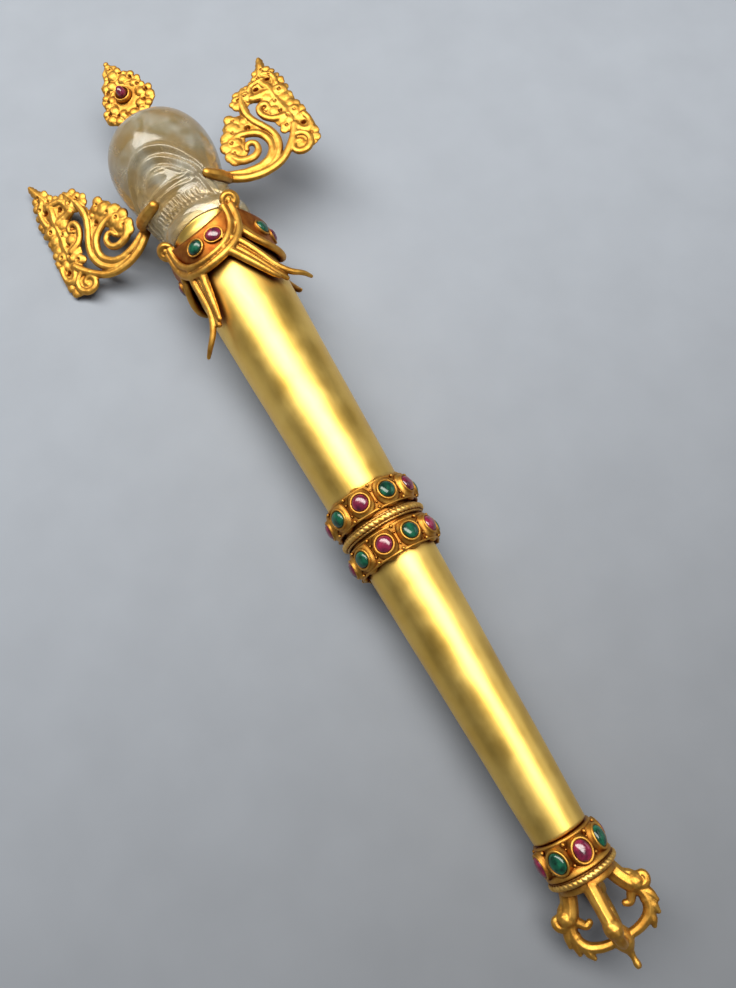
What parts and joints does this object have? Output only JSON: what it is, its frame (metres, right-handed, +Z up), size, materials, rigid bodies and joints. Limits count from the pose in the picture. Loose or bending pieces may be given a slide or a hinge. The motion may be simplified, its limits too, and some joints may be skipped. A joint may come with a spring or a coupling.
{
  "type": "ceremonial sceptre",
  "caption": "Sheet-gold ceremonial sceptre with a carved crystal skull head, pierced scroll ears, flame crest, gem-set collar and bands, and a half-vajra foot, lying on its side.",
  "frame": {"origin": "centre of the underside of the bounding box, on the table that the sceptre lies on", "axes": "+X along the staff towards the half-vajra foot, the skull towards -X, +Z up, +Y towards the staff's own right as seen from above"},
  "size_m": [0.382, 0.1158, 0.0432],
  "materials": {
    "sheet_gold": "hammered and burnished high-carat sheet gold",
    "cast_gold": "cast and chased gold, satin, red-brown in the recesses",
    "crystal": "polished rock crystal, slightly cloudy",
    "ruby": "polished cabochon ruby",
    "emerald": "polished cabochon emerald"
  },
  "bodies": {
    "root": {"collar_emerald_1": "emerald", "collar_emerald_3": "emerald", "collar_emerald_5": "emerald", "collar_emerald_7": "emerald", "collar_ruby_2": "ruby", "collar_ruby_4": "ruby", "collar_ruby_6": "ruby", "collar_ruby_8": "ruby", "crest_ruby": "ruby", "crystal_skull": "crystal", "flame_crest": "cast_gold", "foot_emerald_2": "emerald", "foot_emerald_4": "emerald", "foot_emerald_6": "emerald", "foot_emerald_8": "emerald", "foot_gem_band": "cast_gold", "foot_rope_ring": "cast_gold", "foot_ruby_1": "ruby", "foot_ruby_3": "ruby", "foot_ruby_5": "ruby", "foot_ruby_7": "ruby", "half_vajra": "cast_gold", "left_scroll_ear": "cast_gold", "lower_emerald_10": "emerald", "lower_emerald_2": "emerald", "lower_emerald_4": "emerald", "lower_emerald_6": "emerald", "lower_emerald_8": "emerald", "lower_gem_band": "cast_gold", "lower_ruby_1": "ruby", "lower_ruby_3": "ruby", "lower_ruby_5": "ruby", "lower_ruby_7": "ruby", "lower_ruby_9": "ruby", "lower_shaft": "sheet_gold", "middle_rope_ring": "cast_gold", "neck_cup": "sheet_gold", "right_scroll_ear": "cast_gold", "swag_collar": "cast_gold", "upper_emerald_10": "emerald", "upper_emerald_2": "emerald", "upper_emerald_4": "emerald", "upper_emerald_6": "emerald", "upper_emerald_8": "emerald", "upper_gem_band": "cast_gold", "upper_ruby_1": "ruby", "upper_ruby_3": "ruby", "upper_ruby_5": "ruby", "upper_ruby_7": "ruby", "upper_ruby_9": "ruby", "upper_shaft": "sheet_gold"}
  },
  "joints": []
}
